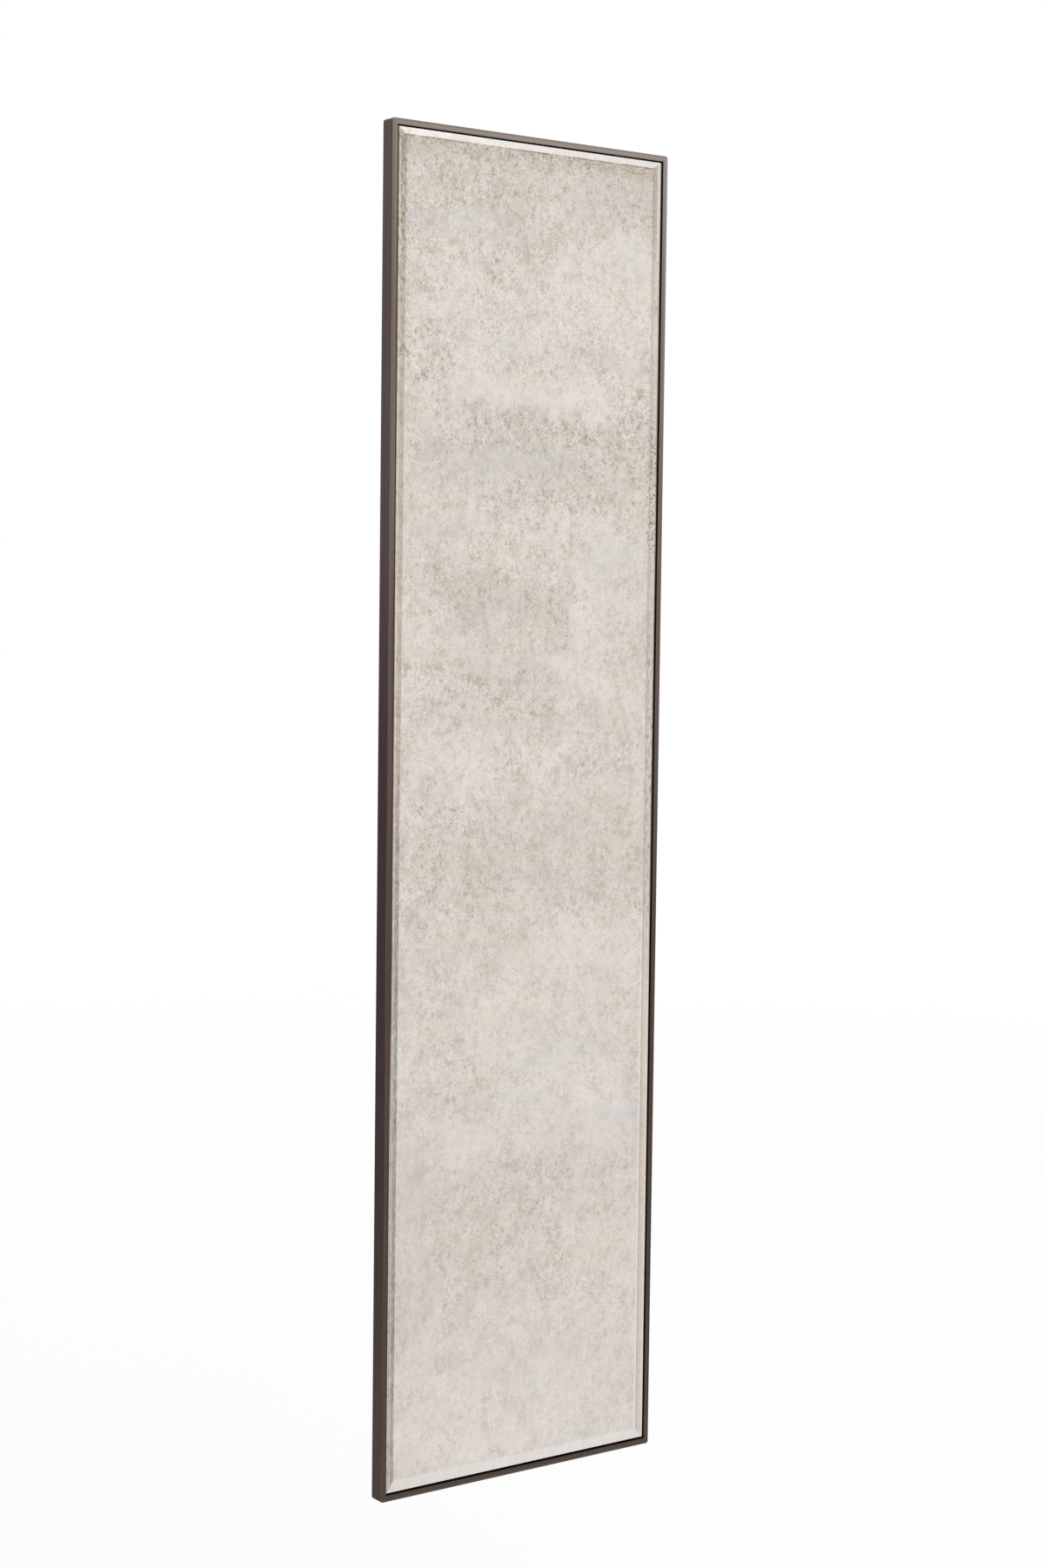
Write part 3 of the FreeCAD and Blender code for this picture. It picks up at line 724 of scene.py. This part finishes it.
def bevel_lines(s, tone):
    """Thin lines and dark rims where the bevels begin and end: painted highlights, dark painted
    reflections, painted shade on the left rim, and brownish lines.
    """
    tone = left_lines(s, tone)
    # Dark painted reflection of the frame on the right rim, above
    right_rim_reflection = s.between(s.x, glass_high.x - RIM_RIGHT_START, glass_high.x - RIM_RIGHT_FULL)
    tone = s.mark(tone, RIM_REFLECTION_RIGHT, right_rim_reflection, s.between(s.z, *RIGHT_RIM_ABOVE))
    top_edge = s.product(
        s.near(s.z, top_line, TOP_WIDTH), s.between(s.z, top_line + CORNER_END, top_line),
        s.off_right, s.between(s.past_left, -CORNER_END, CORNER_END),
    )
    tone = s.mark(tone, LINE_TOP, top_edge, s.between(s.broken, 0.0, 0.6, 0.35, 1.0))
    left_upper = s.product(s.near(s.past_left, 0.0, LEFT_UPPER_WIDTH), s.between(s.z, *LEFT_LINE_ABOVE))
    tone = s.mark(tone, LINE_LEFT_UPPER, left_upper, s.under_top)
    return right_lines(s, tone)


def hairline_crack(s, tone):
    """One fine dark curve in the silver near the upper right corner."""
    middle_x, middle_z = CRACK_CENTRE
    across = s.maths("SUBTRACT", s.x, middle_x)
    along = s.maths("SUBTRACT", s.z, middle_z)
    curve = s.near(s.maths("SQRT", s.squares(across, along)), CRACK_RADIUS, CRACK_WIDTH)
    return s.mark(tone, CRACK, curve, s.under_top, s.between(s.x, *CRACK_FADE))


def faint_cast(s):
    """A cast over the whole pane, which changes a little from top to bottom, with painted shade at the
    lower left.
    """
    cast = s.blend(s.between(s.z, *CAST_BELOW_BY_Z), colour(CAST_ABOVE), colour(CAST_BELOW))
    cast = s.tint(s.between(s.z, *CAST_LOWEST_BY_Z), cast, CAST_LOWEST)
    # Painted shade at the lower left
    left = s.between(s.x, *SHADE_LOWER_LEFT_BY_X)
    shaded_lower_left = s.product(s.between(s.z, *SHADE_LOWER_LEFT_BY_Z), left)
    return s.tint(shaded_lower_left, cast, SHADE_LOWER_LEFT)


def antiqued_mirror():
    """Silver that has clouded and foxed behind clear glass, most of all near the upper edges, with
    painted reflections, highlights and shade on its bevels, rims and lower left.
    """
    s = PaneShading("antiqued_mirror_with_painted_light")
    tone, worn = clouded_silver(s)
    tone, silvered = bevel_reflections(s, tone)
    tone = edge_spots(s, tone)
    tone = bevel_lines(s, tone)
    tone = hairline_crack(s, tone)
    tone = s.blend(1.0, tone, faint_cast(s), "MULTIPLY")
    tone = s.blend(silvered, colour(GLASS_SIDE), tone)
    s.set(
        Base_Color=tone, Metallic=silvered, Roughness=s.between(worn, 0.0, 1.0, 0.10, 0.20),
        Coat_Weight=0.6, Coat_Roughness=0.03,
    )
    s.paint("mirror_glass")


def lengthwise(along, scales):
    """A scale for each axis: the second one along the length, and the first one across it."""
    scale_across, scale_along = scales
    return [scale_along if axis == along else scale_across for axis in range(3)]


def bronze_painted_highlight(s, x, z):
    """Where a painted highlight makes the bronze paler: more towards the top and the right, and a
    little at both ends.
    """
    return s.total(
        s.product(s.between(z, *HIGHLIGHT_UPWARD), s.between(x, *HIGHLIGHT_BY_X)),
        s.product(s.between(z, *HIGHLIGHT_MIDDLE_FROM), s.between(z, *HIGHLIGHT_MIDDLE_TO)),
        s.between(z, *HIGHLIGHT_TOP), s.between(z, *HIGHLIGHT_BOTTOM),
    )


def brushed_bronze(name, along, parts):
    """Dark bronze brushed lengthwise: streaks and soft mottling, a painted highlight towards the top,
    and painted shade on the inner walls and on the outer sides, darker below.
    """
    s = Shading(name)
    x, _, z = s.split(s.place)
    tilt_x, tilt_y, tilt_z = s.split(s.normal)
    streaks = s.field(lengthwise(along, BRONZE_STREAK_SCALES))
    bands = s.field(lengthwise(along, BRONZE_BAND_SCALES), detail=2.0)
    mottle = s.field(lengthwise(along, BRONZE_MOTTLE_SCALES))
    tone = s.blend(s.between(streaks, 0.30, 0.70), colour(BRONZE_DARK), colour(BRONZE_LIGHT))
    tone = s.mark(tone, BRONZE_MOTTLE, s.between(mottle, 0.42, 0.66))
    # A painted highlight, paler towards the top and the right
    tone = s.tint(bronze_painted_highlight(s, x, z), tone, BRONZE_PAINTED_HIGHLIGHT)
    tone = s.shade(s.between(bands, 0.35, 0.65), tone, BRONZE_BAND_CAST)

    lowest = s.between(
        z, glass_low.z + LOWEST_ABOVE_GLASS_END, glass_low.z - LOWEST_BELOW_GLASS_END,
    )
    tone = s.shade(lowest, tone, BRONZE_LOWEST_CAST)
    below = s.product(s.between(z, *RIGHT_BELOW_TO), s.between(z, *RIGHT_BELOW_FROM))
    right_below = s.product(s.between(x, *RIGHT_BELOW_BY_X), below)
    tone = s.shade(right_below, tone, BRONZE_RIGHT_BELOW_CAST)
    outward = s.total(s.product(tilt_x, x), s.product(tilt_z, z))
    # Painted shade on the inner walls beside the glass
    inner_painted_dark = s.product(s.between(outward, *LEAN_INWARD), s.between(tilt_y, *LEAN_OFF_FRONT))
    tone = s.tint(inner_painted_dark, tone, BRONZE_INNER_SHADE)
    # Painted shade on the outer sides, darker below
    outer = s.product(s.between(outward, *LEAN_OUTWARD), s.between(tilt_y, *LEAN_TO_SIDE))
    tone = s.shade(outer, tone, BRONZE_SIDE_SHADE_CAST)
    outer_shade_below = s.product(outer, s.between(z, *SIDE_BELOW_TO), s.between(z, *SIDE_BELOW_FROM))
    tone = s.shade(outer_shade_below, tone, BRONZE_SIDE_SHADE_BELOW_CAST)
    s.set(
        Base_Color=tone, Metallic=BRONZE_METALLIC, Roughness=s.between(streaks, 0.2, 0.8, 0.38, 0.48),
        Specular_IOR_Level=0.15,
    )
    s.bump(streaks, 0.00003)
    s.paint(*parts)


def plated_metal(name, tones, metallic, parts):
    """Tumbled and plated metal: soft blotches, fine grain and thin scratches."""
    s = Shading(name)
    dark, light = tones
    blotches = s.noise(s.place, 140.0, 3.0, 0.6, 0.5)
    grain = s.noise(s.place, 1100.0, 2.0, 0.6)
    scratches = s.field((2600, 2600, 120), detail=2.0)
    tone = s.blend(s.between(blotches, 0.36, 0.64), colour(dark), colour(light))
    tone = s.mark(tone, (dark, METAL_GRAIN_SHARE), s.between(grain, 0.50, 0.66))
    tone = s.mark(tone, (light, METAL_SCRATCH_SHARE), s.between(scratches, 0.62, 0.70))
    s.set(Base_Color=tone, Metallic=metallic, Roughness=s.between(blotches, 0.30, 0.70, 0.28, 0.46))
    s.bump(grain, 0.00002)
    s.paint(*parts)


def pressed_board(name, tones, parts):
    """Black fibreboard: a felted grain, broad shading and a few paler scuffs."""
    s = Shading(name)
    dark, light = tones
    fibres = s.field((700, 700, 260), detail=4.0, roughness=0.7, distortion=0.4)
    broad = s.field((9, 9, 4))
    scuffs = s.field((30, 30, 9), (3.0, 0, 1.0), 6.0, 0.75)
    tone = s.blend(s.between(fibres, 0.36, 0.64), colour(dark), colour(light))
    tone = s.mark(tone, (light, BOARD_SHADING_SHARE), s.between(broad, 0.40, 0.62))
    tone = s.mark(tone, BOARD_SCUFF, s.between(scuffs, 0.58, 0.72))
    s.set(
        Base_Color=tone, Roughness=s.between(fibres, 0.3, 0.7, 0.66, 0.84), Specular_IOR_Level=0.3,
    )
    s.bump(fibres, 0.00008)
    s.paint(*parts)


def soft_finish(name, tones, scale, roughness, parts):
    """Rubber, foam, film or glue: a fine grain over faint clouds."""
    s = Shading(name)
    base, second = tones
    grain = s.noise(s.place, scale, 3.0, 0.65)
    clouds = s.noise(s.place, scale / CLOUD_TO_GRAIN, 2.0, 0.5)
    tone = s.blend(s.between(grain, 0.34, 0.66), colour(base), colour(second))
    tone = s.mark(tone, (base, SOFT_CLOUD_SHARE), s.between(clouds, 0.4, 0.6))
    s.set(Base_Color=tone, Roughness=s.between(grain, 0.2, 0.8, roughness, roughness + 0.12))
    s.bump(grain, 0.00005)
    s.paint(*parts)


def names_starting(*starts):
    return [n for n in nodes if n.startswith(starts)]


def dress():
    antiqued_mirror()
    brushed_bronze("bronze_upright", Z_AXIS, ["left_stile", "right_stile"])
    brushed_bronze("bronze_level", X_AXIS, ["top_rail", "bottom_rail"])
    steel = names_starting("hanger_strap", "d_ring", "hanger_screws")
    plated_metal("zinc_steel", ZINC, 0.55, steel)
    plated_metal("black_screw_steel", SCREW_BLACK, 0.4, names_starting("backing_screws"))
    plated_metal("key_aluminium", ALUMINIUM, 0.6, names_starting("corner_key"))
    pressed_board("black_board", BOARD_BLACK, ["backing_board"])
    soft_finish("bumper_rubber_finish", RUBBER, 600.0, 0.80, names_starting("wall_bumper"))
    soft_finish("clear_film", FILM, 90.0, 0.35, ["safety_film"])
    soft_finish("foam_tape_finish", FOAM, 700.0, 0.85, names_starting("mounting_tape"))
    soft_finish("adhesive_finish", ADHESIVE, 400.0, 0.45, ["adhesive_dabs"])


def make_camera():
    data = bpy.data.cameras.new("camera")
    data.sensor_width = SENSOR_SIDE_MM
    data.lens = FOCAL_PIXELS / PHOTO_HEIGHT_PIXELS * SENSOR_SIDE_MM
    data.clip_start = CAMERA_NEAR
    data.clip_end = CAMERA_FAR
    camera = bpy.data.objects.new("camera", data)
    bpy.context.scene.collection.objects.link(camera)
    bpy.context.scene.camera = camera
    turn, pitch = CAMERA_TURN, CAMERA_PITCH
    forward = Vector((
        math.sin(turn) * math.cos(pitch), math.cos(turn) * math.cos(pitch), math.sin(pitch),
    ))
    level = Vector((math.cos(turn), -math.sin(turn), 0.0))
    upright = level.cross(forward)
    right = level * math.cos(CAMERA_ROLL) + upright * math.sin(CAMERA_ROLL)
    up = upright * math.cos(CAMERA_ROLL) - level * math.sin(CAMERA_ROLL)
    rotation = Matrix((right, up, -forward)).transposed()
    camera.matrix_world = Matrix.Translation(CAMERA_PLACE) @ rotation.to_4x4()


def background_rays(tree):
    """1 for rays that should meet the white background: seen directly, in gloss or through glass."""
    path = tree.nodes.new("ShaderNodeLightPath")
    result = path.outputs["Is Camera Ray"]
    for name in ("Is Glossy Ray", "Is Transmission Ray"):
        largest = tree.nodes.new("ShaderNodeMath")
        largest.operation = "MAXIMUM"
        tree.links.new(result, largest.inputs[0])
        tree.links.new(path.outputs[name], largest.inputs[1])
        result = largest.outputs[0]
    return result


def make_world():
    world = bpy.data.worlds.new("studio")
    bpy.context.scene.world = world
    world.use_nodes = True
    tree = world.node_tree
    light = tree.nodes["Background"]
    light.inputs["Color"].default_value = colour(WORLD_COLOUR)
    light.inputs["Strength"].default_value = WORLD_STRENGTH
    white = tree.nodes.new("ShaderNodeBackground")
    white.inputs["Color"].default_value = PURE_WHITE
    white.inputs["Strength"].default_value = 1.0
    mixed = tree.nodes.new("ShaderNodeMixShader")
    tree.links.new(background_rays(tree), mixed.inputs["Fac"])
    tree.links.new(light.outputs[0], mixed.inputs[1])
    tree.links.new(white.outputs[0], mixed.inputs[2])
    tree.links.new(mixed.outputs[0], tree.nodes["World Output"].inputs["Surface"])


def make_floor():
    """A plain pale floor below the hung mirror. Seen directly it runs into the white background."""
    mesh = bpy.data.meshes.new("floor")
    level = cad_low.z - FLOOR_DROP
    corners = []
    for side in range(FLOOR_SIDES):
        turn = math.tau * side / FLOOR_SIDES
        corners.append((FLOOR_RADIUS * math.cos(turn), FLOOR_RADIUS * math.sin(turn), level))
    mesh.from_pydata(corners, [], [tuple(range(FLOOR_SIDES))])
    floor = bpy.data.objects.new("floor", mesh)
    bpy.context.scene.collection.objects.link(floor)

    s = Shading("pale_floor")
    s.set(Base_Color=colour(FLOOR_COLOUR), Roughness=0.9, Specular_IOR_Level=0.2)
    x, y, _ = s.split(s.place)
    radius = s.maths("SQRT", s.squares(x, y))
    whiteness = s.between(radius, FLOOR_NEAR, FLOOR_FAR, 1.0 - FLOOR_OWN_SHARE, 1.0)
    glow = s.add("ShaderNodeEmission", {"Color": PURE_WHITE, "Strength": 1.0})
    mixed = s.add("ShaderNodeMixShader", {"Fac": s.product(whiteness, background_rays(s.tree))})
    s.tree.links.new(s.surface.outputs[0], mixed.inputs[1])
    s.tree.links.new(glow.outputs[0], mixed.inputs[2])
    s.tree.links.new(mixed.outputs[0], s.tree.nodes["Material Output"].inputs["Surface"])
    mesh.materials.append(s.material)


def make_soft_box(name, place, aim, size, watts):
    data = bpy.data.lights.new(name, "AREA")
    data.shape = "RECTANGLE"
    data.size, data.size_y = size
    data.energy = watts
    data.color = colour(LAMP_COLOUR)[:3]
    lamp = bpy.data.objects.new(name, data)
    lamp.location = place
    lamp.rotation_euler = (aim - place).to_track_quat("-Z", "Y").to_euler()
    bpy.context.scene.collection.objects.link(lamp)


dress()
make_camera()
make_world()
make_floor()
make_soft_box("key", KEY_PLACE, KEY_AIM, KEY_SIZE, KEY_WATTS)
make_soft_box("back", BACK_PLACE, BACK_AIM, BACK_SIZE, BACK_WATTS)
bpy.context.scene.view_settings.view_transform = "Standard"
